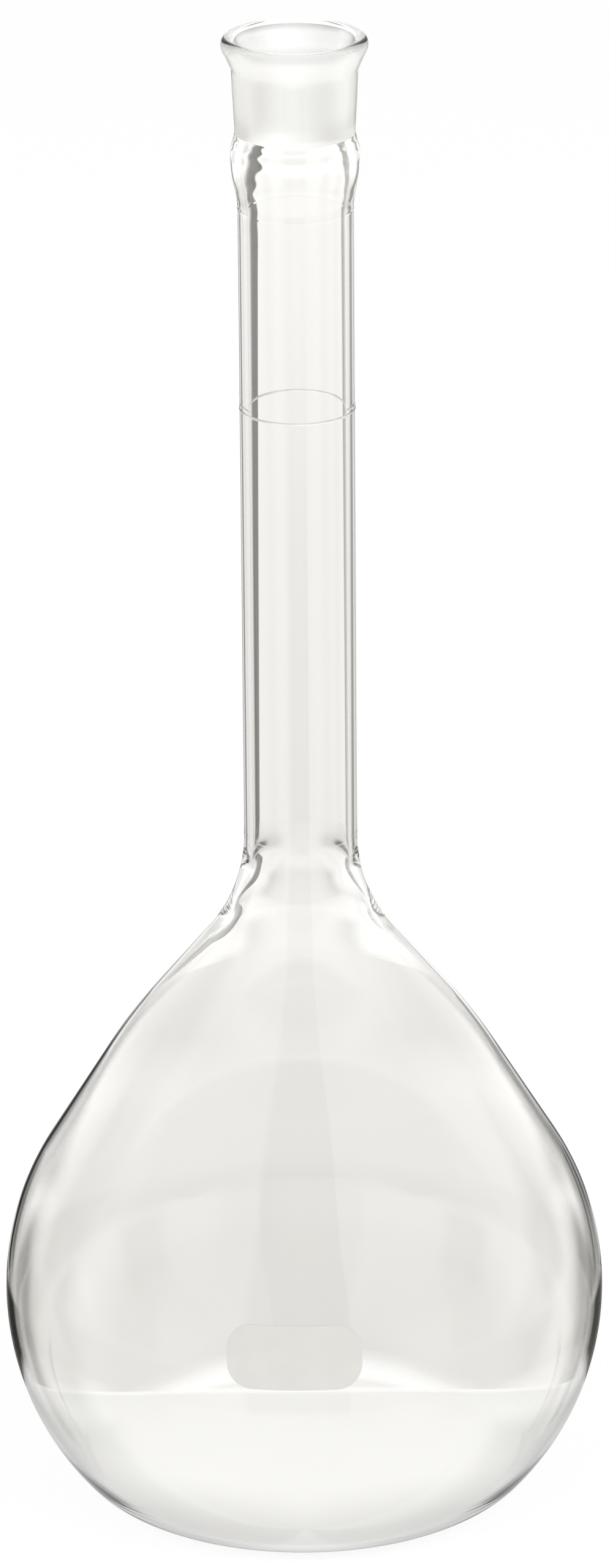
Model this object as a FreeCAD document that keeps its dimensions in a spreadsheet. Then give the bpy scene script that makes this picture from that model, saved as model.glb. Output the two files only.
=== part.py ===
import FreeCAD, Part
import math
import os
import Sketcher
from FreeCAD import Vector

# One-litre volumetric flask, millimetres, +Z up.
# The origin is the centre of the flat base, on the surface the flask stands on.

doc = FreeCAD.newDocument("volumetric_flask")
sheet = doc.addObject("Spreadsheet::Sheet", "Sizes")

# driving dimensions: alias, millimetres or degrees
driving_sizes = [
    ("wall", 1.8),
    ("neck_radius", 11.8),
    ("weld_height", 145.5),
    ("neck_length", 135.0),
    ("bulb_radius", 63.3),
    ("equator_height", 42.5),
    ("belly_radius", 58.7),
    ("lower_radius", 59.1),
    ("corner_radius", 12.2),
    ("shoulder_angle", 31.5),
    ("upper_angle", 39.3),
    ("shoulder_radius", 122.0),
    ("flare_radius", 35.9),
    ("line_height", 238.5),
    ("line_width", 0.55),
    ("line_depth", 0.15),
    ("bulge_radius", 13.2),
    ("bulge_start", 9.2),
    ("bulge_end", 13.6),
    ("ground_end", 15.6),
    ("socket_foot", 12.3),
    ("socket_top", 29.2),
    ("socket_shoulder", 12.85),
    ("lip_radius", 14.87),
    ("lip_underside", 33.7),
    ("socket_height", 36.0),
    ("mouth_radius", 12.0),
    ("taper_top", 34.6),
    ("taper_radius", 11.0),
    ("taper_ratio", 0.1),
    ("lip_rounding", 0.85),
    ("bulge_rounding", 3.0),
    ("spot_width", 27.8),
    ("spot_height", 13.3),
    ("spot_corner", 5.2),
    ("spot_offset", -2.1),
    ("spot_middle", 53.75),
    ("enamel", 0.12),
    ("spot_reach", 22.0),
]
for row, (alias, size) in enumerate(driving_sizes, start=1):
    sheet.set(f"A{row}", alias)
    sheet.set(f"B{row}", str(size))
    sheet.setAlias(f"B{row}", alias)
doc.recompute()


def size(alias):
    return float(sheet.get(alias))


def bound(alias):
    return f"Sizes.{alias}"


def origin_plane(body, role):
    for feature in body.Origin.OriginFeatures:
        if feature.Role == role:
            return feature
    raise RuntimeError(f"{body.Label} has no {role}")


def new_body(label):
    body = doc.addObject("PartDesign::Body", label)
    body.Label = label
    return body


def new_sketch(body, name, role="XZ_Plane"):
    sketch = body.newObject("Sketcher::SketchObject", name)
    sketch.AttachmentSupport = [(origin_plane(body, role), "")]
    sketch.MapMode = "FlatFace"
    return sketch


def drive(sketch, kind, where, value, expression):
    # adds a dimension and binds it to the sheet
    index = sketch.addConstraint(Sketcher.Constraint(kind, *where, value))
    sketch.setExpression(f"Constraints[{index}]", expression)


def at_angle(centre, radius, degrees):
    turn = math.radians(degrees)
    return Vector(centre.x + radius * math.cos(turn), centre.y + radius * math.sin(turn), 0)


def add_arc(sketch, centre, radius, first, last):
    circle = Part.Circle(centre, Vector(0, 0, 1), radius)
    return sketch.addGeometry(Part.ArcOfCircle(circle, math.radians(first), math.radians(last)), False)


def add_line(sketch, start, end):
    return sketch.addGeometry(Part.LineSegment(start, end), False)


def add_polygon(sketch, corners):
    # closed outline; each corner is (radius, height, radius expression, height expression)
    points = [Vector(radius, height, 0) for radius, height, _, _ in corners]
    lines = [add_line(sketch, start, end) for start, end in zip(points, points[1:] + points[:1])]
    for line, following in zip(lines, lines[1:] + lines[:1]):
        sketch.addConstraint(Sketcher.Constraint("Coincident", line, 2, following, 1))
    for line, (radius, height, radius_cell, height_cell) in zip(lines, corners):
        drive(sketch, "DistanceX", (-1, 1, line, 1), radius, radius_cell)
        if height_cell:
            drive(sketch, "DistanceY", (-1, 1, line, 1), height, height_cell)
        else:
            sketch.addConstraint(Sketcher.Constraint("PointOnObject", line, 1, -1))


def revolve(body, sketch, name, kind="PartDesign::Revolution"):
    feature = body.newObject(kind, name)
    feature.Profile = sketch
    feature.ReferenceAxis = (sketch, ["V_Axis"])
    feature.Angle = 360.0
    sketch.Visibility = False
    return feature


def round_edges(body, name, base, alias, places):
    # rounds the circular edges that pass through the given (radius, height) places
    edges = []
    for number, edge in enumerate(base.Shape.Edges, start=1):
        centre = edge.BoundBox.Center
        reach = edge.BoundBox.XMax
        for radius, height in places:
            if abs(centre.z - height) < 0.01 and abs(reach - radius) < 0.01 and edge.BoundBox.ZLength < 0.01:
                edges.append(f"Edge{number}")
    if len(edges) != len(places):
        raise RuntimeError(f"{name}: {len(edges)} edges found for {len(places)} places")
    fillet = body.newObject("PartDesign::Fillet", name)
    fillet.Base = (base, edges)
    fillet.setExpression("Radius", bound(alias))
    doc.recompute()
    return fillet


# Bulb: a blown wall of even thickness, from the flat base up to the weld with the neck.
def make_bulb():
    body = new_body("bulb")
    sketch = new_sketch(body, "bulb_outline")
    belly_turn = size("shoulder_angle")
    neck_turn = size("upper_angle")
    lower_centre = Vector(size("bulb_radius") - size("lower_radius"), size("equator_height"), 0)
    belly_centre = Vector(size("bulb_radius") - size("belly_radius"), size("equator_height"), 0)
    corner_drop = size("equator_height") - size("corner_radius")
    corner_span = size("lower_radius") - size("corner_radius")
    corner_turn = -math.degrees(math.asin(corner_drop / corner_span))
    corner_centre = at_angle(lower_centre, corner_span, corner_turn)
    flare_centre = Vector(size("neck_radius") + size("flare_radius"), size("weld_height"), 0)
    belly_top = at_angle(belly_centre, size("belly_radius"), belly_turn)
    flare_foot = at_angle(flare_centre, size("flare_radius"), 180 + neck_turn)
    # the shoulder arc touches the two cones, a whole radius inside both
    low_normal = at_angle(Vector(), 1, belly_turn)
    high_normal = at_angle(Vector(), 1, neck_turn)
    low_reach = low_normal.dot(belly_top) - size("shoulder_radius")
    high_reach = high_normal.dot(flare_foot) - size("shoulder_radius")
    spread = low_normal.x * high_normal.y - low_normal.y * high_normal.x
    shoulder_centre = Vector((low_reach * high_normal.y - high_reach * low_normal.y) / spread,
                             (high_reach * low_normal.x - low_reach * high_normal.x) / spread, 0)
    foot_end = Vector(corner_centre.x, 0, 0)
    rim_end = Vector(size("neck_radius"), size("weld_height"), 0)
    rim_middle = Vector(0, size("weld_height"), 0)

    base = add_line(sketch, Vector(), foot_end)
    corner = add_arc(sketch, corner_centre, size("corner_radius"), -90, corner_turn)
    lower = add_arc(sketch, lower_centre, size("lower_radius"), corner_turn, 0)
    belly = add_arc(sketch, belly_centre, size("belly_radius"), 0, belly_turn)
    low_cone = add_line(sketch, belly_top, at_angle(shoulder_centre, size("shoulder_radius"), belly_turn))
    shoulder = add_arc(sketch, shoulder_centre, size("shoulder_radius"), belly_turn, neck_turn)
    high_cone = add_line(sketch, at_angle(shoulder_centre, size("shoulder_radius"), neck_turn), flare_foot)
    flare = add_arc(sketch, flare_centre, size("flare_radius"), 180, 180 + neck_turn)
    rim = add_line(sketch, rim_end, rim_middle)
    axis = add_line(sketch, rim_middle, Vector())

    for first, first_end, second, second_end in [
        (base, 2, corner, 1),
        (corner, 2, lower, 1),
        (lower, 2, belly, 1),
        (belly, 2, low_cone, 1),
        (low_cone, 2, shoulder, 1),
        (shoulder, 2, high_cone, 1),
        (high_cone, 2, flare, 2),
    ]:
        sketch.addConstraint(Sketcher.Constraint("Tangent", first, first_end, second, second_end))
    sketch.addConstraint([
        Sketcher.Constraint("Coincident", base, 1, -1, 1),
        Sketcher.Constraint("Horizontal", base),
        Sketcher.Constraint("Horizontal", lower, 3, lower, 2),
        Sketcher.Constraint("Horizontal", flare, 3, flare, 1),
        Sketcher.Constraint("Coincident", flare, 1, rim, 1),
        Sketcher.Constraint("Horizontal", rim),
        Sketcher.Constraint("Coincident", rim, 2, axis, 1),
        Sketcher.Constraint("Coincident", axis, 2, -1, 1),
        Sketcher.Constraint("Vertical", axis),
    ])
    for arc, alias in [(corner, "corner_radius"), (lower, "lower_radius"), (belly, "belly_radius"),
                       (shoulder, "shoulder_radius"), (flare, "flare_radius")]:
        drive(sketch, "Radius", (arc,), size(alias), bound(alias))
    drive(sketch, "DistanceX", (-1, 1, lower, 2), size("bulb_radius"), bound("bulb_radius"))
    drive(sketch, "DistanceY", (-1, 1, lower, 2), size("equator_height"), bound("equator_height"))
    drive(sketch, "DistanceX", (-1, 1, flare, 1), size("neck_radius"), bound("neck_radius"))
    drive(sketch, "DistanceY", (-1, 1, flare, 1), size("weld_height"), bound("weld_height"))
    for cone, alias in [(low_cone, "shoulder_angle"), (high_cone, "upper_angle")]:
        drive(sketch, "Angle", (cone,), math.radians(90 + size(alias)), f"90 deg + {bound(alias)} * 1 deg")
    solid = revolve(body, sketch, "bulb_solid")
    doc.recompute()

    rim_face = max(range(len(solid.Shape.Faces)), key=lambda face: solid.Shape.Faces[face].CenterOfMass.z)
    shell = body.newObject("PartDesign::Thickness", "bulb_wall")
    shell.Base = (solid, [f"Face{rim_face + 1}"])
    shell.Mode = 0
    shell.Join = 0
    shell.Reversed = True
    shell.setExpression("Value", bound("wall"))
    return body


# Neck: a straight precision tube with one shallow ring groove for the graduation line.
def make_neck():
    body = new_body("neck_tube")
    body.setExpression("Placement.Base.z", bound("weld_height"))
    section = new_sketch(body, "neck_section", "XY_Plane")
    for radius, cell in [
        (size("neck_radius"), bound("neck_radius")),
        (size("neck_radius") - size("wall"), f"{bound('neck_radius')} - {bound('wall')}"),
    ]:
        circle = section.addGeometry(Part.Circle(Vector(), Vector(0, 0, 1), radius), False)
        section.addConstraint(Sketcher.Constraint("Coincident", circle, 3, -1, 1))
        drive(section, "Radius", (circle,), radius, cell)
    tube = body.newObject("PartDesign::Pad", "neck_wall")
    tube.Profile = section
    tube.setExpression("Length", bound("neck_length"))
    doc.recompute()
    groove_outline = new_sketch(body, "line_groove_outline")
    add_polygon(groove_outline, line_corners(size("weld_height"), f" - {bound('weld_height')}"))
    revolve(body, groove_outline, "line_groove", "PartDesign::Groove")
    return body


# The section of the graduation line, measured from the given start height.
def line_corners(start, start_cell):
    low = size("line_height") - size("line_width") / 2 - start
    high = low + size("line_width")
    inner = size("neck_radius") - size("line_depth")
    inner_cell = f"{bound('neck_radius')} - {bound('line_depth')}"
    low_cell = f"{bound('line_height')} - {bound('line_width')} / 2{start_cell}"
    high_cell = f"{bound('line_height')} + {bound('line_width')} / 2{start_cell}"
    return [
        (inner, low, inner_cell, low_cell),
        (size("neck_radius"), low, bound("neck_radius"), low_cell),
        (size("neck_radius"), high, bound("neck_radius"), high_cell),
        (inner, high, inner_cell, high_cell),
    ]


# Graduation line: white enamel that fills the ring groove flush with the neck.
def make_line():
    body = new_body("graduation_ring")
    outline = new_sketch(body, "line_outline")
    add_polygon(outline, line_corners(0, ""))
    revolve(body, outline, "line_fill")
    return body


# Stopper socket: the bulge over the upper weld, the ground taper and the flared lip.
def make_socket():
    body = new_body("stopper_socket")
    body.setExpression("Placement.Base.z", f"{bound('weld_height')} + {bound('neck_length')}")
    outline = new_sketch(body, "socket_outline")
    neck_bore = size("neck_radius") - size("wall")
    neck_bore_cell = f"{bound('neck_radius')} - {bound('wall')}"
    bulge_bore = size("bulge_radius") - size("wall")
    bulge_bore_cell = f"{bound('bulge_radius')} - {bound('wall')}"
    taper_drop = (size("taper_top") - size("ground_end")) * size("taper_ratio") / 2
    taper_foot = size("taper_radius") - taper_drop
    taper_run_cell = f"({bound('taper_top')} - {bound('ground_end')})"
    taper_foot_cell = f"{bound('taper_radius')} - {taper_run_cell} * {bound('taper_ratio')} / 2"
    neck_edge = (size("neck_radius"), 0, bound("neck_radius"), "")
    outer_corners = [
        (size("bulge_radius"), size("bulge_start"), bound("bulge_radius"), bound("bulge_start")),
        (size("bulge_radius"), size("bulge_end"), bound("bulge_radius"), bound("bulge_end")),
        (size("socket_foot"), size("ground_end"), bound("socket_foot"), bound("ground_end")),
        (size("socket_shoulder"), size("socket_top"), bound("socket_shoulder"), bound("socket_top")),
        (size("lip_radius"), size("lip_underside"), bound("lip_radius"), bound("lip_underside")),
        (size("lip_radius"), size("socket_height"), bound("lip_radius"), bound("socket_height")),
        (size("mouth_radius"), size("socket_height"), bound("mouth_radius"), bound("socket_height")),
    ]
    inner_corners = [
        (size("taper_radius"), size("taper_top"), bound("taper_radius"), bound("taper_top")),
        (taper_foot, size("ground_end"), taper_foot_cell, bound("ground_end")),
        (bulge_bore, size("bulge_end"), bulge_bore_cell, bound("bulge_end")),
        (bulge_bore, size("bulge_start"), bulge_bore_cell, bound("bulge_start")),
        (neck_bore, 0, neck_bore_cell, ""),
    ]
    add_polygon(outline, [neck_edge] + outer_corners + inner_corners)
    solid = revolve(body, outline, "socket_solid")
    doc.recompute()
    lip_places = [corner[:2] for corner in outer_corners[4:7]]
    bulge_places = [corner[:2] for corner in outer_corners[:2] + inner_corners[2:4]]
    rounded = round_edges(body, "bulge_fillet", solid, "bulge_rounding", bulge_places)
    round_edges(body, "lip_fillet", rounded, "lip_rounding", lip_places)
    return body


# Marking spot: a thin enamel patch with round corners, fired on the front of the bulb.
def make_spot():
    coat = new_body("spot_coat")
    outline = new_sketch(coat, "coat_outline")
    turn = math.degrees(math.asin(size("spot_reach") / size("belly_radius")))
    centre = Vector(size("bulb_radius") - size("belly_radius"), size("equator_height"), 0)
    inner = add_arc(outline, centre, size("belly_radius"), 0, turn)
    outer = add_arc(outline, centre, size("belly_radius") + size("enamel"), 0, turn)
    foot = add_line(outline, outline.Geometry[inner].StartPoint, outline.Geometry[outer].StartPoint)
    head = add_line(outline, outline.Geometry[inner].EndPoint, outline.Geometry[outer].EndPoint)
    for line, end in [(foot, 1), (head, 2)]:
        outline.addConstraint(Sketcher.Constraint("Coincident", line, 1, inner, end))
        outline.addConstraint(Sketcher.Constraint("Coincident", line, 2, outer, end))
    outline.addConstraint([
        Sketcher.Constraint("Coincident", inner, 3, outer, 3),
        Sketcher.Constraint("Horizontal", foot),
        Sketcher.Constraint("Horizontal", inner, 3, inner, 1),
        Sketcher.Constraint("PointOnObject", inner, 3, head),
    ])
    drive(outline, "Radius", (inner,), size("belly_radius"), bound("belly_radius"))
    drive(outline, "Radius", (outer,), size("belly_radius") + size("enamel"),
          f"{bound('belly_radius')} + {bound('enamel')}")
    drive(outline, "DistanceX", (-1, 1, inner, 1), size("bulb_radius"), bound("bulb_radius"))
    drive(outline, "DistanceY", (-1, 1, inner, 1), size("equator_height"), bound("equator_height"))
    drive(outline, "DistanceY", (inner, 1, inner, 2), size("spot_reach"), bound("spot_reach"))
    revolve(coat, outline, "coat_ring")

    block = doc.addObject("Part::Box", "spot_block")
    block.setExpression("Length", bound("spot_width"))
    block.setExpression("Width", f"{bound('bulb_radius')} + 2 * {bound('enamel')}")
    block.setExpression("Height", bound("spot_height"))
    block.setExpression("Placement.Base.x", f"{bound('spot_offset')} - {bound('spot_width')} / 2")
    block.setExpression("Placement.Base.y", f"-{bound('bulb_radius')} - 2 * {bound('enamel')}")
    block.setExpression("Placement.Base.z", f"{bound('spot_middle')} - {bound('spot_height')} / 2")
    doc.recompute()
    rounded_block = doc.addObject("Part::Fillet", "spot_rounded_block")
    rounded_block.Base = block
    corner = size("spot_corner")
    rounded_block.Edges = [
        (number, corner, corner)
        for number, edge in enumerate(block.Shape.Edges, start=1)
        if edge.BoundBox.YLength > size("bulb_radius")
    ]
    spot = doc.addObject("Part::Common", "marking_spot")
    spot.Base = coat
    spot.Tool = rounded_block
    spot.Label = "marking_spot"
    return spot


sub_parts = [make_bulb(), make_neck(), make_socket(), make_line(), make_spot()]
doc.recompute()

for item in doc.Objects:
    if "Invalid" in item.State or "Error" in item.State:
        raise RuntimeError(f"{item.Label} failed: {item.State}")
for item in sub_parts:
    if item.Shape.isNull() or not item.Shape.isValid() or len(item.Shape.Solids) != 1:
        raise RuntimeError(f"{item.Label} is not one valid solid")

os.makedirs("parts", exist_ok=True)
for item in sub_parts:
    box = item.Shape.BoundBox
    print(f"{item.Label}: {item.Shape.Volume:.1f} mm3, z {box.ZMin:.2f} to {box.ZMax:.2f}, reach {box.XMax:.2f}")
    item.Shape.exportStep(f"parts/{item.Label}.step")
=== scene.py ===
import math
import bmesh
import bpy
from mathutils import Euler, Matrix, Vector


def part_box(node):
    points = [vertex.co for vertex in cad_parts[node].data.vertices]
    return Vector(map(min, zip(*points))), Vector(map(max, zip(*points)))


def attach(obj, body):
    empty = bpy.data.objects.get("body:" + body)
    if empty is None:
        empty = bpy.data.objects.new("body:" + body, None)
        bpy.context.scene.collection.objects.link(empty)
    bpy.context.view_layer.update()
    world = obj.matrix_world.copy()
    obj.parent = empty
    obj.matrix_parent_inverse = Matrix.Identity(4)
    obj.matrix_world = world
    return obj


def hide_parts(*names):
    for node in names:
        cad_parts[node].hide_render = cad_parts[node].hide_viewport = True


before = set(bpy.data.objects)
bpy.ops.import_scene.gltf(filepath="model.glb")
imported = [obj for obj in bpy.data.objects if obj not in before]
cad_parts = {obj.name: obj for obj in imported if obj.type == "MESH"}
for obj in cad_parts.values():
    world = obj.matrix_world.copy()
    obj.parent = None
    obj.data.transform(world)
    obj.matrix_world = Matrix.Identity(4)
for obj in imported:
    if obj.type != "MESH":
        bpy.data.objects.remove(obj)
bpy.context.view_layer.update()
scene = bpy.context.scene
mm = 0.001

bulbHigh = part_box("bulb")[1]
neckLow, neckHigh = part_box("neck_tube")
ringLow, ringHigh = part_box("graduation_ring")
print("frame loaded")


# helpers for half sections, which are lists of (radius, height)

def arcPoints(centre, radius, first, last, count):
    points = []
    for step in range(count + 1):
        turn = math.radians(first + (last - first) * step / count)
        points.append((centre[0] + radius * math.cos(turn), centre[1] + radius * math.sin(turn)))
    return points


def linePoints(start, end, count):
    return [(start[0] + (end[0] - start[0]) * step / count, start[1] + (end[1] - start[1]) * step / count)
            for step in range(count + 1)]


def joinRuns(*runs):
    # strings runs together and drops the doubled points where they meet
    samePlace = 1e-7
    points = []
    for run in runs:
        for point in run:
            if not points or math.dist(point, points[-1]) > samePlace:
                points.append(point)
    return points


def smoothRun(knots, count):
    # a Catmull-Rom curve through the knots
    points = []
    for index in range(len(knots) - 1):
        before = knots[max(index - 1, 0)]
        start, end = knots[index], knots[index + 1]
        after = knots[min(index + 2, len(knots) - 1)]
        for step in range(count):
            t = step / count
            points.append(tuple(
                0.5 * (2 * b + (c - a) * t + (2 * a - 5 * b + 4 * c - d) * t * t
                       + (3 * b - a - 3 * c + d) * t ** 3)
                for a, b, c, d in zip(before, start, end, after)))
    points.append(knots[-1])
    return points


def direction(degrees):
    return Vector((math.cos(math.radians(degrees)), math.sin(math.radians(degrees))))


# helpers for node trees

def newGroup(name, kind, inputs, outputs):
    tree = bpy.data.node_groups.new(name, kind)
    for label, socketType, value in inputs:
        entry = tree.interface.new_socket(label, in_out="INPUT", socket_type=socketType)
        if value is not None:
            entry.default_value = value
    for label, socketType in outputs:
        tree.interface.new_socket(label, in_out="OUTPUT", socket_type=socketType)
    return tree, tree.nodes.new("NodeGroupInput"), tree.nodes.new("NodeGroupOutput")


def put(tree, kind, settings, values):
    # adds a node; a value is either a plain number or the output that feeds the socket
    node = tree.nodes.new(kind)
    for key, value in settings.items():
        setattr(node, key, value)
    for key, value in values.items():
        if isinstance(value, bpy.types.NodeSocket):
            tree.links.new(value, node.inputs[key])
        else:
            node.inputs[key].default_value = value
    return node


def sums(tree, operation, first, second=0.0):
    return put(tree, "ShaderNodeMath", {"operation": operation}, {0: first, 1: second}).outputs[0]


def ramp(tree, value, low, high, fromLevel, toLevel):
    settings = {"interpolation_type": "SMOOTHSTEP"}
    values = {"Value": value, "From Min": low, "From Max": high, "To Min": fromLevel, "To Max": toLevel}
    return put(tree, "ShaderNodeMapRange", settings, values).outputs[0]


def band(tree, value, limits, depth=1.0):
    # rises to depth between the first two limits and falls back to nothing between the last two
    start, full, fade, end = limits
    rising = ramp(tree, value, start, full, 0.0, depth)
    falling = ramp(tree, value, fade, end, 1.0, 0.0)
    return sums(tree, "MULTIPLY", rising, falling)


# Geometry Nodes: turned glass, from a half section spun round Z

# the glass of each strip, in the order of the tree's material inputs
mainSlot, groundSlot, seamSlot = range(3)
# how much of a weld bead comes on two sides, and how much all the way round
twoSided, allRound = 0.85, 0.15


def makeTurnedTree():
    tree, given, result = newGroup("turnedGlass", "GeometryNodeTree", [
        ("Section", "NodeSocketGeometry", None),
        ("Segments", "NodeSocketInt", 192),
        ("Wave Scale", "NodeSocketFloat", 160.0),
        ("Seed", "NodeSocketFloat", 4.0),
        ("Main Glass", "NodeSocketMaterial", None),
        ("Ground Glass", "NodeSocketMaterial", None),
        ("Seam", "NodeSocketMaterial", None),
    ], [("Geometry", "NodeSocketGeometry")])
    section = given.outputs["Section"]
    segments = given.outputs["Segments"]
    index = tree.nodes.new("GeometryNodeInputIndex").outputs[0]
    count = put(tree, "GeometryNodeAttributeDomainSize", {}, {"Geometry": section}).outputs["Point Count"]
    strips = sums(tree, "SUBTRACT", count, 1)

    def fromSection(kind, value, row):
        settings = {"data_type": kind, "domain": "POINT"}
        return put(tree, "GeometryNodeSampleIndex", settings,
                   {"Geometry": section, "Value": value, "Index": row}).outputs[0]

    def named(kind, name):
        return put(tree, "GeometryNodeInputNamedAttribute", {"data_type": kind}, {"Name": name}).outputs[0]

    row = sums(tree, "MODULO", index, count)
    column = sums(tree, "FLOOR", sums(tree, "DIVIDE", index, count))
    place = tree.nodes.new("GeometryNodeInputPosition").outputs[0]
    point = put(tree, "ShaderNodeSeparateXYZ", {}, {0: fromSection("FLOAT_VECTOR", place, row)})
    sway = fromSection("FLOAT", named("FLOAT", "sway"), row)
    bead = fromSection("FLOAT", named("FLOAT", "bead"), row)
    turn = sums(tree, "DIVIDE", sums(tree, "MULTIPLY", column, 2 * math.pi), segments)
    across, along = sums(tree, "COSINE", turn), sums(tree, "SINE", turn)

    def spun(radius):
        return put(tree, "ShaderNodeCombineXYZ", {}, {
            0: sums(tree, "MULTIPLY", radius, across), 1: sums(tree, "MULTIPLY", radius, along),
            2: point.outputs["Z"]}).outputs[0]

    wave = put(tree, "ShaderNodeTexNoise", {"noise_dimensions": "4D"}, {
        "Vector": spun(point.outputs["X"]), "W": given.outputs["Seed"], "Scale": given.outputs["Wave Scale"],
        "Detail": 1.0}).outputs[0]
    wander = sums(tree, "MULTIPLY", sums(tree, "SUBTRACT", wave, 0.5), sway)
    # the beads of a weld are heavier on two sides
    leaning = sums(tree, "MULTIPLY", across, across)
    heavier = sums(tree, "ADD", sums(tree, "MULTIPLY", leaning, twoSided), allRound)
    shift = sums(tree, "SUBTRACT", wander, sums(tree, "MULTIPLY", bead, heavier))
    grid = put(tree, "GeometryNodeMeshGrid", {}, {
        "Vertices X": sums(tree, "ADD", segments, 1), "Vertices Y": count}).outputs["Mesh"]
    spread = put(tree, "GeometryNodeSetPosition", {}, {
        "Geometry": grid, "Position": spun(sums(tree, "ADD", point.outputs["X"], shift))}).outputs[0]
    faceRow = sums(tree, "MODULO", index, strips)
    marked = put(tree, "GeometryNodeStoreNamedAttribute", {"data_type": "INT", "domain": "FACE"}, {
        "Geometry": spread, "Name": "slot",
        "Value": fromSection("INT", named("INT", "slot"), faceRow)}).outputs[0]
    closed = put(tree, "GeometryNodeMergeByDistance", {}, {"Geometry": marked, "Distance": 1e-6}).outputs[0]
    smooth = put(tree, "GeometryNodeSetShadeSmooth", {}, {"Geometry": closed}).outputs[0]
    shape = put(tree, "GeometryNodeRealizeInstances", {}, {"Geometry": smooth}).outputs[0]
    for number, label in enumerate(("Main Glass", "Ground Glass", "Seam")):
        same = put(tree, "FunctionNodeCompare", {"data_type": "INT", "operation": "EQUAL"}, {
            2: named("INT", "slot"), 3: number}).outputs[0]
        shape = put(tree, "GeometryNodeSetMaterial", {}, {
            "Geometry": shape, "Selection": same, "Material": given.outputs[label]}).outputs[0]
    tree.links.new(shape, result.inputs[0])
    return tree


def evaluate(piece, tree, values):
    # runs a tree on the piece and keeps the result as a plain mesh
    modifier = piece.modifiers.new("shape", "NODES")
    modifier.node_group = tree
    for entry in tree.interface.items_tree:
        if entry.in_out == "INPUT" and entry.name in values:
            modifier[entry.identifier] = values[entry.name]
    scene.collection.objects.link(piece)
    graph = bpy.context.evaluated_depsgraph_get()
    mesh = bpy.data.meshes.new_from_object(piece.evaluated_get(graph))
    mesh.name = piece.name
    while None in mesh.materials[:]:
        mesh.materials.pop(index=mesh.materials[:].index(None))
    piece.modifiers.remove(modifier)
    piece.data = mesh
    return piece


turnedTree = makeTurnedTree()


def turnGlass(name, section, slots, strays, values):
    # strays holds, for each point, how far it may sway and how heavy a bead it has
    mesh = bpy.data.meshes.new(name + "_section")
    mesh.from_pydata([(radius, 0, height) for radius, height in section], [], [])
    mesh.attributes.new("slot", "INT", "POINT").data.foreach_set("value", slots)
    for number, label in enumerate(("sway", "bead")):
        column = [stray[number] for stray in strays]
        mesh.attributes.new(label, "FLOAT", "POINT").data.foreach_set("value", column)
    piece = evaluate(bpy.data.objects.new(name, mesh), turnedTree, values)
    # the edges round a seam stay sharp, so that the wall's own curve isn't bent there
    mesh = piece.data
    seam = mesh.materials[:].index(meltedSeam)
    touching = {}
    for polygon in mesh.polygons:
        for key in polygon.edge_keys:
            touching.setdefault(key, set()).add(polygon.material_index)
    for edge in mesh.edges:
        kinds = touching[edge.key]
        edge.use_edge_sharp = seam in kinds and len(kinds) > 1
    return piece


# materials

def makeMottle():
    # slow and fine variation for glass and enamel
    tree, given, result = newGroup("mottle", "ShaderNodeTree", [
        ("Place", "NodeSocketVector", None),
        ("Patch Scale", "NodeSocketFloat", 80.0),
        ("Grain Scale", "NodeSocketFloat", 2000.0),
        ("Light Colour", "NodeSocketColor", (1, 1, 1, 1)),
        ("Dark Colour", "NodeSocketColor", (1, 1, 1, 1)),
        ("Smoothest", "NodeSocketFloat", 0.4),
        ("Roughest", "NodeSocketFloat", 0.6),
    ], [("Color", "NodeSocketColor"), ("Roughness", "NodeSocketFloat"), ("Height", "NodeSocketFloat")])
    # the range that the noise mostly fills
    least, most = 0.3, 0.7
    patch = put(tree, "ShaderNodeTexNoise", {}, {
        "Vector": given.outputs["Place"], "Scale": given.outputs["Patch Scale"], "Detail": 3.0}).outputs[0]
    grain = put(tree, "ShaderNodeTexNoise", {}, {
        "Vector": given.outputs["Place"], "Scale": given.outputs["Grain Scale"], "Detail": 2.0}).outputs[0]
    spread = ramp(tree, patch, least, most, 0.0, 1.0)
    colour = put(tree, "ShaderNodeMix", {"data_type": "RGBA"}, {
        0: spread, 6: given.outputs["Light Colour"], 7: given.outputs["Dark Colour"]}).outputs[2]
    rough = put(tree, "ShaderNodeMapRange", {}, {
        "Value": grain, "From Min": least, "From Max": most,
        "To Min": given.outputs["Smoothest"], "To Max": given.outputs["Roughest"]}).outputs[0]
    height = sums(tree, "ADD", sums(tree, "MULTIPLY", patch, 0.5), sums(tree, "MULTIPLY", grain, 0.5))
    for label, output in (("Color", colour), ("Roughness", rough), ("Height", height)):
        tree.links.new(output, result.inputs[label])
    return tree


mottle = makeMottle()


def newMaterial(name):
    material = bpy.data.materials.new(name)
    material.use_nodes = True
    return material, material.node_tree.nodes["Principled BSDF"]


def addMottle(tree, values):
    place = tree.nodes.new("ShaderNodeTexCoord").outputs["Object"]
    return put(tree, "ShaderNodeGroup", {"node_tree": mottle}, {"Place": place, **values})


def makeClearGlass():
    material, shader = newMaterial("clearGlass")
    tree = material.node_tree
    shader.inputs["Transmission Weight"].default_value = 1.0
    shader.inputs["IOR"].default_value = 1.473
    shader.inputs["Roughness"].default_value = 0.0
    surface = addMottle(tree, {
        "Patch Scale": 38.0, "Grain Scale": 150.0,
        "Light Colour": (0.997, 0.994, 0.980, 1), "Dark Colour": (0.993, 0.990, 0.974, 1)})
    tree.links.new(surface.outputs["Color"], shader.inputs["Base Color"])
    return material


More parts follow.
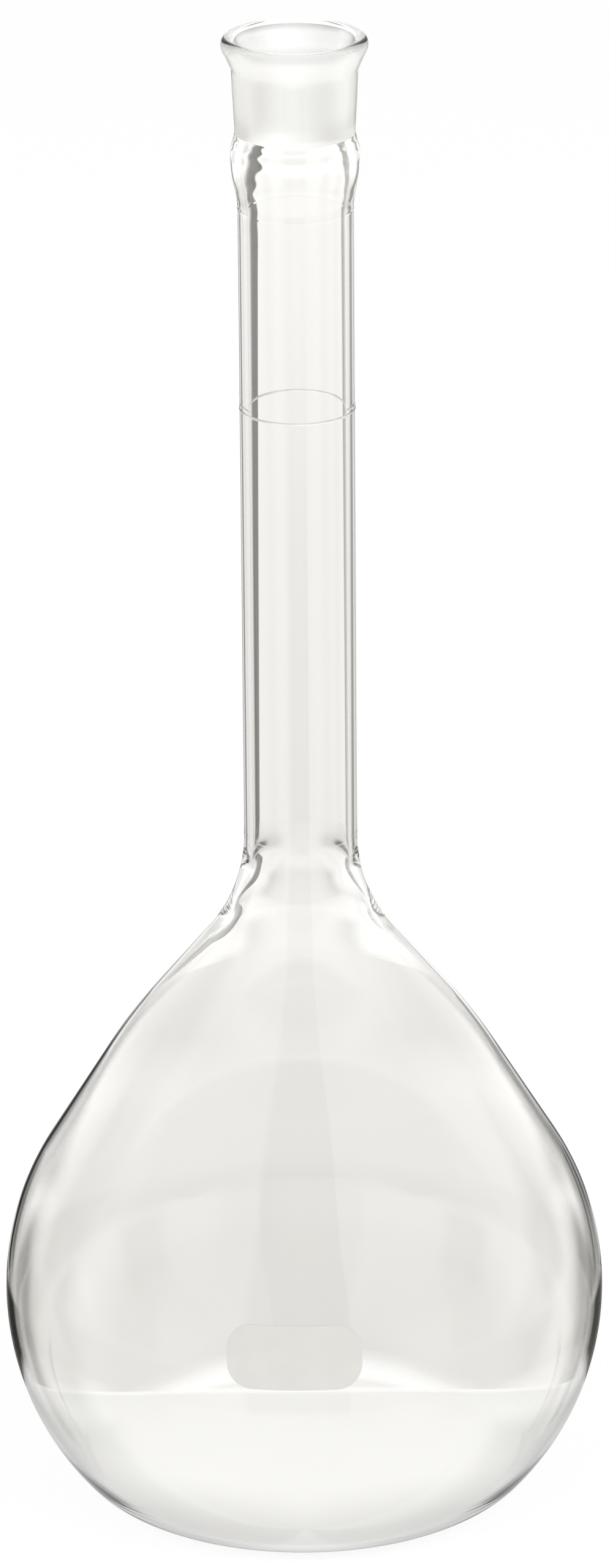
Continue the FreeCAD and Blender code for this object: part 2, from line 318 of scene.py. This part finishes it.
def makeGroundGlass():
    material, shader = newMaterial("groundGlass")
    tree = material.node_tree
    shader.inputs["Transmission Weight"].default_value = 1.0
    shader.inputs["IOR"].default_value = 1.2
    surface = addMottle(tree, {
        "Patch Scale": 120.0, "Grain Scale": 2600.0,
        "Light Colour": (1.0, 0.999, 0.994, 1), "Dark Colour": (0.99, 0.989, 0.982, 1),
        "Smoothest": 0.8, "Roughest": 1.0})
    tree.links.new(surface.outputs["Color"], shader.inputs["Base Color"])
    tree.links.new(surface.outputs["Roughness"], shader.inputs["Roughness"])
    return material


def makeSeam():
    # the melted seam inside the wall, where nothing shows
    material, shader = newMaterial("meltedSeam")
    shader.inputs["Alpha"].default_value = 0.0
    shader.inputs["Specular IOR Level"].default_value = 0.0
    return material


def makeEnamel(name, values, bump, clearness):
    material, shader = newMaterial(name)
    tree = material.node_tree
    shader.inputs["Transmission Weight"].default_value = clearness
    shader.inputs["IOR"].default_value = 1.1
    surface = addMottle(tree, values)
    relief = put(tree, "ShaderNodeBump", {}, {
        "Height": surface.outputs["Height"], "Strength": bump, "Distance": 0.03 * mm})
    tree.links.new(surface.outputs["Color"], shader.inputs["Base Color"])
    tree.links.new(surface.outputs["Roughness"], shader.inputs["Roughness"])
    tree.links.new(relief.outputs[0], shader.inputs["Normal"])
    return material


clearGlass = makeClearGlass()
groundGlass = makeGroundGlass()
meltedSeam = makeSeam()
lineEnamel = makeEnamel("lineEnamel", {
    "Patch Scale": 400.0, "Grain Scale": 3000.0, "Light Colour": (0.95, 0.95, 0.93, 1),
    "Dark Colour": (0.90, 0.90, 0.88, 1), "Smoothest": 0.4, "Roughest": 0.6}, 0.3, 0.9)
spotEnamel = makeEnamel("spotEnamel", {
    "Patch Scale": 160.0, "Grain Scale": 2400.0, "Light Colour": (0.785, 0.775, 0.74, 1),
    "Dark Colour": (0.76, 0.75, 0.715, 1), "Smoothest": 0.5, "Roughest": 0.75}, 0.5, 0.0)
glassSet = {"Main Glass": clearGlass, "Ground Glass": groundGlass, "Seam": meltedSeam}
print("materials made")


# bulb

bulb = {
    "wall": 1.8 * mm,
    "neckRadius": neckHigh[0],
    "weldHeight": bulbHigh[2],
    "radius": bulbHigh[0],
    "equator": 42.5 * mm,
    "bellyRadius": 58.7 * mm,
    "lowerRadius": 59.1 * mm,
    "cornerRadius": 12.2 * mm,
    "shoulderAngle": 31.5,
    "upperAngle": 39.3,
    "shoulderRadius": 122.0 * mm,
    "flareRadius": 35.9 * mm,
    # height and wall thickness in millimetres
    "walls": [(0, 1.43), (2, 1.43), (12, 1.3), (46, 1.3), (90, 0.85), (108, 0.85),
              (119, 1.3), (140, 1.8), (146, 1.8)],
    # where the neck's weld makes the wall thicker or thinner: height, change, reach
    "weldBeads": [(138.5 * mm, 0.2 * mm, 2.6 * mm), (131.5 * mm, -0.2 * mm, 3.2 * mm),
                  (125.0 * mm, 0.35 * mm, 4.2 * mm)],
    # how far the drawn glass wanders round that weld: height, change, reach
    "weldSway": (131 * mm, 0.05 * mm, 8 * mm),
    # steps along the base, heel, lower belly, upper belly, shoulder and flare
    "steps": (14, 14, 22, 20, 14, 44),
    "segments": 192,
}


def swell(height, middle, change, reach):
    # a change that is largest at its middle and dies away on both sides
    return change * math.exp(-((height - middle) / reach) ** 2)


def weldBead(height):
    return sum(swell(height, *bead) for bead in bulb["weldBeads"])


def weldSway(height):
    return swell(height, *bulb["weldSway"])


def bulbRuns(inset):
    # the bulb's half section from the base to the weld, moved inwards by inset
    lowerCentre = Vector((bulb["radius"] - bulb["lowerRadius"], bulb["equator"]))
    bellyCentre = Vector((bulb["radius"] - bulb["bellyRadius"], bulb["equator"]))
    span = bulb["lowerRadius"] - bulb["cornerRadius"]
    cornerTurn = -math.degrees(math.asin((bulb["equator"] - bulb["cornerRadius"]) / span))
    cornerCentre = lowerCentre + span * direction(cornerTurn)
    flareCentre = Vector((bulb["neckRadius"] + bulb["flareRadius"], bulb["weldHeight"]))
    low, high = direction(bulb["shoulderAngle"]), direction(bulb["upperAngle"])
    bellyTop = bellyCentre + bulb["bellyRadius"] * low
    flareFoot = flareCentre - bulb["flareRadius"] * high
    lowReach = low.dot(bellyTop) - bulb["shoulderRadius"]
    highReach = high.dot(flareFoot) - bulb["shoulderRadius"]
    spread = low.x * high.y - low.y * high.x
    shoulderCentre = Vector(((lowReach * high.y - highReach * low.y) / spread,
                             (highReach * low.x - lowReach * high.x) / spread))
    base, heel, lower, belly, shoulder, flare = bulb["steps"]
    return joinRuns(
        linePoints((0, inset), (cornerCentre.x, inset), base),
        arcPoints(cornerCentre, bulb["cornerRadius"] - inset, -90, cornerTurn, heel),
        arcPoints(lowerCentre, bulb["lowerRadius"] - inset, cornerTurn, 0, lower),
        arcPoints(bellyCentre, bulb["bellyRadius"] - inset, 0, bulb["shoulderAngle"], belly),
        arcPoints(shoulderCentre, bulb["shoulderRadius"] - inset, bulb["shoulderAngle"],
                  bulb["upperAngle"], shoulder),
        arcPoints(flareCentre, bulb["flareRadius"] + inset, 180 + bulb["upperAngle"], 180, flare),
    )


def wallAt(height):
    # blown glass is thinnest on the shoulder: the wall's thickness at a height
    knots = bulb["walls"]
    for (low, thin), (high, thick) in zip(knots, knots[1:]):
        if height <= high * mm:
            share = min(max((height / mm - low) / (high - low), 0.0), 1.0)
            return (thin + (thick - thin) * share * share * (3 - 2 * share)) * mm
    return knots[-1][1] * mm


bulbOuter = bulbRuns(0)
# the inside, from the weld down to the base: each point moves in by the wall's own thickness
bulbInner = []
for (radius, height), (nearRadius, nearHeight) in zip(bulbOuter, bulbRuns(1 * mm)):
    share = wallAt(height) / mm
    bulbInner.insert(0, (radius + (nearRadius - radius) * share, height + (nearHeight - height) * share))
bulbSlots = [mainSlot] * len(bulbOuter + bulbInner)
bulbSlots[len(bulbOuter) - 1] = seamSlot
bulbStrays = [(0, 0)] * len(bulbOuter) + [
    (weldSway(height), weldBead(height)) for radius, height in bulbInner]
bulbGlass = turnGlass("bulb_glass", bulbOuter + bulbInner, bulbSlots, bulbStrays,
                      {"Segments": bulb["segments"], **glassSet})
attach(bulbGlass, "root")
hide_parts("bulb")
print("bulb done")


# neck

neck = {
    "bore": bulb["neckRadius"] - bulb["wall"],
    # how far the glass wanders round the weld under the socket: height, change, reach
    "topSway": (283 * mm, 0.08 * mm, 7 * mm),
    "steps": 150,
    "segments": 192,
}


def topSway(height):
    return swell(height, *neck["topSway"])


neckOuter = linePoints((bulb["neckRadius"], neckLow[2]), (bulb["neckRadius"], neckHigh[2]), neck["steps"])
neckInner = [(neck["bore"], height) for radius, height in neckOuter[::-1]]
neckSection = neckOuter + neckInner + neckOuter[:1]
neckSlots = [mainSlot] * len(neckSection)
neckSlots[len(neckOuter) - 1] = seamSlot
neckSlots[len(neckOuter + neckInner) - 1] = seamSlot
neckStrays = [(0, 0)] * len(neckOuter) + [
    (weldSway(height) + topSway(height), weldBead(height)) for radius, height in neckInner] + [(0, 0)]
neckGlass = turnGlass("neck_glass", neckSection, neckSlots, neckStrays,
                      {"Segments": neck["segments"], **glassSet})
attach(neckGlass, "root")
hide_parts("neck_tube")
print("neck done")


# stopper socket

foot = neckHigh[2]
socket = {
    # radius and height above the weld, from the foot up the outside and over the lip
    "outside": [(11.8, 0.0), (11.92, 1.9), (12.3, 4.0), (12.84, 6.6), (13.14, 8.9), (13.2, 10.9),
                (13.08, 12.9), (12.6, 14.7), (12.3, 16.4), (12.34, 18.5), (12.6, 23.5), (12.82, 28.1),
                (13.05, 29.7), (13.6, 31.0), (14.2, 32.4), (14.7, 33.5), (14.87, 34.5), (14.6, 35.5),
                (13.9, 36.0), (12.9, 35.9), (12.1, 35.4)],
    # then down the ground taper, and the clear inside of the bulge
    "ground": [(12.1, 35.4), (11.6, 34.8), (11.25, 34.0), (11.0, 33.0), (10.82, 29.6), (10.59, 25.0),
               (10.36, 20.4), (10.12, 15.6)],
    "inside": [(10.12, 15.6), (10.34, 14.3), (10.74, 12.8), (11.06, 10.9), (11.12, 8.9), (10.94, 6.7),
               (10.5, 4.2), (10.12, 1.8), (10.0, 0.0)],
    # steps from one of these points to the next
    "steps": 5,
    "insideSteps": 6,
    "segments": 192,
}


def lift(points):
    return [(radius * mm, foot + height * mm) for radius, height in points]


socketOuter = smoothRun(lift(socket["outside"]), socket["steps"])
groundRun = smoothRun(lift(socket["ground"]), socket["steps"])
socketInner = smoothRun(lift(socket["inside"]), socket["insideSteps"])
socketSection = joinRuns(socketOuter, groundRun, socketInner)
groundFirst = len(socketOuter) - 1
innerFirst = groundFirst + len(groundRun) - 1
socketSlots = [groundSlot if groundFirst <= index < innerFirst else mainSlot
               for index in range(len(socketSection))]
socketSlots[-1] = seamSlot
socketStrays = [(topSway(height) if index >= innerFirst else 0, 0)
                for index, (radius, height) in enumerate(socketSection)]
socketGlass = turnGlass("socket_glass", socketSection + socketSection[:1], socketSlots + [mainSlot],
                        socketStrays + [(0, 0)], {"Segments": socket["segments"], **glassSet})
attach(socketGlass, "root")
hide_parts("stopper_socket")
print("socket done")


# graduation ring

ring = {
    # to the middle of the band, which stands a little proud of the glass
    "radius": ringHigh[0] + 0.03 * mm,
    "height": (ringLow[2] + ringHigh[2]) / 2,
    "width": ringHigh[2] - ringLow[2],
    "depth": 0.07 * mm,
    "segments": 192,
}


def makeRingTree():
    # a flat enamel band that follows a circle
    tree, given, result = newGroup("enamelRing", "GeometryNodeTree", [
        ("Radius", "NodeSocketFloat", 0.01),
        ("Height", "NodeSocketFloat", 0.0),
        ("Width", "NodeSocketFloat", 0.001),
        ("Depth", "NodeSocketFloat", 0.001),
        ("Segments", "NodeSocketInt", 64),
        ("Enamel", "NodeSocketMaterial", None),
    ], [("Geometry", "NodeSocketGeometry")])
    path = put(tree, "GeometryNodeCurvePrimitiveCircle", {}, {
        "Resolution": given.outputs["Segments"], "Radius": given.outputs["Radius"]}).outputs[0]
    profile = put(tree, "GeometryNodeCurvePrimitiveQuadrilateral", {}, {
        "Width": given.outputs["Depth"], "Height": given.outputs["Width"]}).outputs[0]
    hoop = put(tree, "GeometryNodeCurveToMesh", {}, {"Curve": path, "Profile Curve": profile}).outputs[0]
    rise = put(tree, "ShaderNodeCombineXYZ", {}, {2: given.outputs["Height"]}).outputs[0]
    lifted = put(tree, "GeometryNodeTransform", {}, {"Geometry": hoop, "Translation": rise}).outputs[0]
    real = put(tree, "GeometryNodeRealizeInstances", {}, {"Geometry": lifted}).outputs[0]
    done = put(tree, "GeometryNodeSetMaterial", {}, {
        "Geometry": real, "Material": given.outputs["Enamel"]}).outputs[0]
    tree.links.new(done, result.inputs[0])
    return tree


ringPiece = bpy.data.objects.new("ring_enamel", bpy.data.meshes.new("ring_enamel"))
evaluate(ringPiece, makeRingTree(), {
    "Radius": ring["radius"], "Height": ring["height"], "Width": ring["width"], "Depth": ring["depth"],
    "Segments": ring["segments"], "Enamel": lineEnamel})
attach(ringPiece, "root")
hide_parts("graduation_ring")
print("ring done")


# marking spot: the CAD solid, which takes its enamel here

spot = {
    # painted glow: an emission on the faces that look towards +Y stands in for the light that comes through
    # the thin enamel to the side that faces the glass
    "backGlowColour": (0.8, 0.79, 0.76, 1),
    "backGlowStrength": 0.6,
    # how far a face has to look towards +Y for none of it, and for all of it
    "backFacing": (0.2, 0.6),
}


def paintedBackGlow(material):
    # painted light: the spot's faces towards +Y glow, in place of light coming through the enamel
    tree = material.node_tree
    shader = tree.nodes["Principled BSDF"]
    normal = tree.nodes.new("ShaderNodeTexCoord").outputs["Normal"]
    facing = put(tree, "ShaderNodeSeparateXYZ", {}, {0: normal}).outputs["Y"]
    shader.inputs["Emission Color"].default_value = spot["backGlowColour"]
    glow = ramp(tree, facing, *spot["backFacing"], 0.0, spot["backGlowStrength"])
    tree.links.new(glow, shader.inputs["Emission Strength"])


paintedBackGlow(spotEnamel)
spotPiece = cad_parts["marking_spot"]
spotPiece.data.materials.clear()
spotPiece.data.materials.append(spotEnamel)
print("spot done")


# floor, world and lamps

stage = {
    "floorReach": 6.0,
    "floorDrop": 0.2 * mm,
    "glow": 1.16,
    "glowShare": 0.75,
    # the pale board under the flask, a painted glow that only the glass shows: its far edge, front and
    # sides, and how far each of them fades
    "boardEdge": 35 * mm,
    "edgeFade": 0.5 * mm,
    "boardReach": 60 * mm,
    "reachFade": 22 * mm,
    "boardWidth": 90 * mm,
    "widthFade": 20 * mm,
    # round the flask's foot the board goes on behind its edge
    "contactReach": 46 * mm,
    "contactFade": 7 * mm,
    # how bright its painted glow is: at the back, at the front, and how much painted shade takes away at the
    # sides
    "boardBack": 0.915,
    "boardFront": 0.62,
    "boardSideShade": 0.4,
    # where the front and the sides get darker, and how much the front's shade comes back at the sides
    "frontFade": (-44 * mm, -14 * mm),
    "frontCurve": 0.35,
    "sidesFade": (34 * mm, 75 * mm),
    # a painted highlight line along the far edge, and the distances over which it fades
    "edgeHighlight": 0.12,
    "highlightFade": (0.3 * mm, 2 * mm),
    # a soft shade far behind the board on either side, deeper at its ends: where it starts, is full,
    # fades and stops, in depth and across
    "shadeDepth": (200 * mm, 250 * mm, 335 * mm, 375 * mm),
    "shadeAcross": (10 * mm, 34 * mm, 100 * mm, 140 * mm),
    "shade": 0.2,
    "endDepth": (140 * mm, 165 * mm, 300 * mm, 340 * mm),
    "endAcross": (61 * mm, 71 * mm, 90 * mm, 120 * mm),
    "shadeEnd": 0.75,
}


def makeFloor():
    bm = bmesh.new()
    bmesh.ops.create_circle(bm, cap_ends=True, radius=stage["floorReach"], segments=96)
    bmesh.ops.translate(bm, verts=bm.verts, vec=(0, 0, -stage["floorDrop"]))
    mesh = bpy.data.meshes.new("floor")
    bm.to_mesh(mesh)
    bm.free()
    material, shader = newMaterial("paleFloor")
    tree = material.node_tree
    tree.nodes.remove(shader)
    path = tree.nodes.new("ShaderNodeLightPath")
    matt = put(tree, "ShaderNodeBsdfDiffuse", {}, {"Color": (0.9, 0.9, 0.9, 1)}).outputs[0]
    bright = put(tree, "ShaderNodeEmission", {}, {"Strength": stage["glow"]}).outputs[0]
    seen = put(tree, "ShaderNodeMixShader", {}, {0: stage["glowShare"], 1: matt, 2: bright}).outputs[0]
    # rays bent by the glass see the board under the flask, which is a painted glow, and the surroundings
    # behind its edge
    bent = sums(tree, "MAXIMUM", path.outputs["Is Glossy Ray"], path.outputs["Is Transmission Ray"])
    point = tree.nodes.new("ShaderNodeTexCoord").outputs["Object"]
    place = put(tree, "ShaderNodeSeparateXYZ", {}, {0: point}).outputs
    aside = sums(tree, "ABSOLUTE", place["X"])
    away = put(tree, "ShaderNodeVectorMath", {"operation": "LENGTH"}, {0: point}).outputs["Value"]
    edge, fade = stage["boardEdge"], stage["edgeFade"]
    front, width, contact = stage["boardReach"], stage["boardWidth"], stage["contactReach"]
    behindEdge = ramp(tree, place["Y"], edge - fade, edge + fade, 0.0, 1.0)
    beyond = ramp(tree, away, contact - stage["contactFade"], contact, 0.0, 1.0)
    inFront = ramp(tree, place["Y"], -front, stage["reachFade"] - front, 1.0, 0.0)
    beside = ramp(tree, aside, width - stage["widthFade"], width, 0.0, 1.0)
    outside = sums(tree, "MAXIMUM", sums(tree, "MULTIPLY", behindEdge, beyond), inFront)
    outside = sums(tree, "MAXIMUM", outside, beside)
    depth = sums(tree, "SUBTRACT", place["Y"], sums(tree, "MULTIPLY", aside, stage["frontCurve"]))
    level = ramp(tree, depth, *stage["frontFade"], stage["boardFront"], stage["boardBack"])
    sides = ramp(tree, aside, *stage["sidesFade"], 1.0, 1.0 - stage["boardSideShade"])
    # painted highlight: a light line along the board's far edge
    offEdge = sums(tree, "ABSOLUTE", sums(tree, "SUBTRACT", place["Y"], edge - fade))
    line = ramp(tree, offEdge, *stage["highlightFade"], stage["edgeHighlight"], 0.0)
    level = sums(tree, "ADD", sums(tree, "MULTIPLY", level, sides), line)
    # painted light: for rays bent by the glass the board glows, with painted shade at its front and sides
    # and a painted highlight line along its far edge
    under = put(tree, "ShaderNodeEmission", {}, {"Strength": level}).outputs[0]
    # the shade behind the board, and its darker ends
    middle = sums(tree, "MULTIPLY", band(tree, place["Y"], stage["shadeDepth"]),
                  band(tree, aside, stage["shadeAcross"], stage["shade"]))
    ends = sums(tree, "MULTIPLY", band(tree, place["Y"], stage["endDepth"]),
                band(tree, aside, stage["endAcross"], stage["shadeEnd"]))
    shade = sums(tree, "MAXIMUM", middle, ends)
    tint = put(tree, "ShaderNodeMix", {"data_type": "RGBA"}, {
        0: shade, 6: (1, 1, 1, 1), 7: (0, 0, 0, 1)}).outputs[2]
    clear = put(tree, "ShaderNodeBsdfTransparent", {}, {"Color": tint}).outputs[0]
    bentSees = put(tree, "ShaderNodeMixShader", {}, {0: outside, 1: under, 2: clear}).outputs[0]
    whole = put(tree, "ShaderNodeMixShader", {}, {0: bent, 1: seen, 2: bentSees}).outputs[0]
    tree.links.new(whole, tree.nodes["Material Output"].inputs["Surface"])
    mesh.materials.append(material)
    floor = bpy.data.objects.new("floor", mesh)
    scene.collection.objects.link(floor)
    return floor


makeFloor()

surround = {
    # elevations in degrees between which the lists below hold
    "lowest": -40,
    "highest": 60,
    # elevation and brightness of the backdrop
    "backdrop": [(-40, 1.3), (-29, 1.15), (-27.2, 1.0), (-26.3, 0.78), (-25, 0.78), (-24, 0.8),
                 (-22.4, 0.86), (-21, 0.89), (-19, 0.915), (-17, 0.975), (-15, 1.01), (-12, 1.42),
                 (-2, 1.42), (6, 1.15), (24, 1.1), (42, 1.1), (58, 0.4)],
    # dark cards beside the backdrop that draw the rims: degrees from +Y where each fades in and out,
    # how much it slants from the elevation below, and its depth by elevation
    "slantFrom": -17,
    "cards": [
        ((-23, -15, -10.2, -9), 0.9, [(-40, 0.0), (-23, 0.0), (-22, 0.9), (-10, 0.9), (-7, 0.0)]),
        ((16, 20, 27, 38), -0.9, [(-40, 0.0), (-23, 0.0), (-22, 0.75), (-10, 0.75), (-7, 0.0)]),
        ((-40, -28, -9, -5), 0, [(-40, 0.0), (-30, 0.0), (-28, 0.95), (-23.6, 0.95), (-23.05, 0.0)]),
        ((5.2, 8.5, 28, 40), 0, [(-40, 0.0), (-30, 0.0), (-28, 0.9), (-23.6, 0.9), (-23.05, 0.0)]),
        ((-86, -72, -64, -50), 0, [(-40, 0.0), (-30, 0.5), (10, 0.5), (24, 0.0)]),
        ((-130, -116, -109, -95), 0, [(-40, 0.0), (-30, 0.3), (10, 0.3), (24, 0.0)]),
        ((95, 109, 116, 130), 0, [(-40, 0.0), (-30, 0.3), (10, 0.3), (24, 0.0)]),
        ((140, 154, 161, 175), 0, [(-40, 0.0), (-30, 0.3), (10, 0.3), (24, 0.0)]),
    ],
    # narrow upright strips at eye level on the back and sides: depth by elevation, half the turn from one
    # to the next, where in that half each fades in, and where round the flask they stop
    "strips": [(-40, 0.0), (-12, 0.0), (-9, 0.35), (8, 0.35), (13, 0.0)],
    "stripTurn": 22.5,
    "stripFade": (10, 16),
    "stripEnd": (128, 135),
    # how much of the light is missing on either side in what the outside of the glass mirrors, and where
    "mirroredLeft": 0.6,
    "leftLimits": (-90, -75, -25, -10),
    "mirroredRight": 0.5,
    "rightLimits": (10, 25, 55, 75),
    # the darker room in front of the flask, in degrees from -Y, and its depth by elevation
    "frontLimits": (-26, -20, 17, 18),
    "frontSeen": [(-40, 0.0), (-27, 0.2), (-26, 0.5), (-19.5, 0.5), (-17.5, 0.15), (-15, 0.15),
                  (-12, 0.3), (24, 0.3)],
    "frontMirrored": [(-40, 0.0), (-29, 0.0), (-26.5, 0.9), (-19.5, 0.9), (-17.5, 0.15), (-15, 0.15),
                      (-12, 0.9), (24, 0.9)],
    # the even light that the glass mirrors from the front half, and where the back half ends
    "shine": 0.8,
    "backEnd": (90, 100),
    # the light on matt surfaces, and the tint of the darker parts
    "soft": 0.4,
    "warm": (1, 0.965, 0.89, 1),
}


def makeWorld():
    world = bpy.data.worlds.new("lightTent")
    scene.world = world
    world.use_nodes = True
    tree = world.node_tree
    tree.nodes.clear()
    place = tree.nodes.new("ShaderNodeTexCoord").outputs["Generated"]
    aim = put(tree, "ShaderNodeSeparateXYZ", {}, {0: place})
    toDegrees = 180 / math.pi
    rise = sums(tree, "MULTIPLY", sums(tree, "ARCSINE", aim.outputs["Z"]), toDegrees)
    turn = sums(tree, "MULTIPLY", sums(tree, "ARCTAN2", aim.outputs["X"], aim.outputs["Y"]), toDegrees)
    back = sums(tree, "MULTIPLY", aim.outputs["Y"], -1)
    front = sums(tree, "MULTIPLY", sums(tree, "ARCTAN2", aim.outputs["X"], back), toDegrees)

    lowest, highest = surround["lowest"], surround["highest"]
    height = sums(tree, "DIVIDE", sums(tree, "SUBTRACT", rise, lowest), highest - lowest)

    def byRise(levels):
        node = put(tree, "ShaderNodeValToRGB", {}, {0: height})
        stops = node.color_ramp.elements
        for number, (degrees, level) in enumerate(levels):
            stop = stops[number] if number < 2 else stops.new(1.0)
            stop.position = (degrees - lowest) / (highest - lowest)
            stop.color = (level, level, level, 1)
        return node.outputs[0]

    def without(light, mask, depth):
        return sums(tree, "MULTIPLY", light, sums(tree, "SUBTRACT", 1, sums(tree, "MULTIPLY", mask, depth)))

    backdrop = byRise(surround["backdrop"])
    above = sums(tree, "SUBTRACT", rise, surround["slantFrom"])
    for limits, slant, depth in surround["cards"]:
        off = sums(tree, "SUBTRACT", turn, sums(tree, "MULTIPLY", above, slant))
        backdrop = without(backdrop, band(tree, off, limits), byRise(depth))
    aside = sums(tree, "ABSOLUTE", turn)
    fold = sums(tree, "PINGPONG", turn, surround["stripTurn"])
    strips = sums(tree, "MULTIPLY", ramp(tree, fold, *surround["stripFade"], 0.0, 1.0),
                  ramp(tree, aside, *surround["stripEnd"], 1.0, 0.0))
    backdrop = without(backdrop, strips, byRise(surround["strips"]))
    behind = ramp(tree, aside, *surround["backEnd"], 1.0, 0.0)
    path = tree.nodes.new("ShaderNodeLightPath")

    def choose(mask, first, second):
        return put(tree, "ShaderNodeMix", {"data_type": "FLOAT"}, {0: mask, 2: first, 3: second}).outputs[0]

    room = band(tree, front, surround["frontLimits"])
    through = without(backdrop, room, byRise(surround["frontSeen"]))
    mirrored = without(choose(behind, surround["shine"], backdrop), room, byRise(surround["frontMirrored"]))
    leftSide = band(tree, turn, surround["leftLimits"])
    rightSide = band(tree, turn, surround["rightLimits"])
    mirrored = without(mirrored, leftSide, surround["mirroredLeft"])
    mirrored = without(mirrored, rightSide, surround["mirroredRight"])
    level = choose(path.outputs["Is Transmission Ray"], mirrored, through)
    level = choose(path.outputs["Is Diffuse Ray"], level, surround["soft"])
    level = choose(path.outputs["Is Camera Ray"], level, 1.0)
    # the darker parts are warm
    tone = sums(tree, "MAXIMUM", level, path.outputs["Is Diffuse Ray"])
    colour = put(tree, "ShaderNodeMix", {"data_type": "RGBA"}, {
        0: tone, 6: surround["warm"], 7: (1, 1, 1, 1)}).outputs[2]
    background = put(tree, "ShaderNodeBackground", {}, {"Color": colour, "Strength": level}).outputs[0]
    tree.links.new(background, tree.nodes.new("ShaderNodeOutputWorld").inputs["Surface"])


makeWorld()

lamps = {
    "places": {"softLeft": (-1.2, -1.2, 1.3), "softRight": (1.2, -1.0, 1.3)},
    "target": (0, 0, 0.1),
    "width": 1.2,
    "power": 12,
}


def addLamp(name, place):
    data = bpy.data.lights.new(name, "AREA")
    data.size = lamps["width"]
    data.energy = lamps["power"]
    lamp = bpy.data.objects.new(name, data)
    lamp.location = place
    lamp.rotation_euler = (Vector(lamps["target"]) - Vector(place)).to_track_quat("-Z", "Y").to_euler()
    lamp.visible_glossy = False
    lamp.visible_transmission = False
    scene.collection.objects.link(lamp)


for name, place in lamps["places"].items():
    addLamp(name, place)
print("stage done")


# camera: the photo's view from the front and above

view = {
    "imageHeight": 2560,
    "focalPixels": 13000,
    "distance": 1.6523,
    "elevation": 21.0,
    "aimHeight": 0.15604,
    "sideways": 0.86 * mm,
    "roll": -0.44,
    "sensor": 24.0,
    "farthest": 50,
}


def makeCamera():
    data = bpy.data.cameras.new("camera")
    data.sensor_fit = "VERTICAL"
    data.sensor_height = view["sensor"]
    data.lens = view["sensor"] * view["focalPixels"] / view["imageHeight"]
    data.clip_end = view["farthest"]
    camera = bpy.data.objects.new("camera", data)
    rise = math.radians(view["elevation"])
    camera.location = (view["sideways"], -view["distance"] * math.cos(rise),
                       view["aimHeight"] + view["distance"] * math.sin(rise))
    tilt = Euler((math.pi / 2 - rise, 0, 0)).to_matrix()
    camera.rotation_euler = (tilt @ Matrix.Rotation(math.radians(view["roll"]), 3, "Z")).to_euler()
    scene.collection.objects.link(camera)
    scene.camera = camera


makeCamera()
scene.view_settings.view_transform = "Standard"
scene.cycles.max_bounces = 24
scene.cycles.transmission_bounces = 24
scene.cycles.glossy_bounces = 12
scene.cycles.transparent_max_bounces = 24
print("camera done")
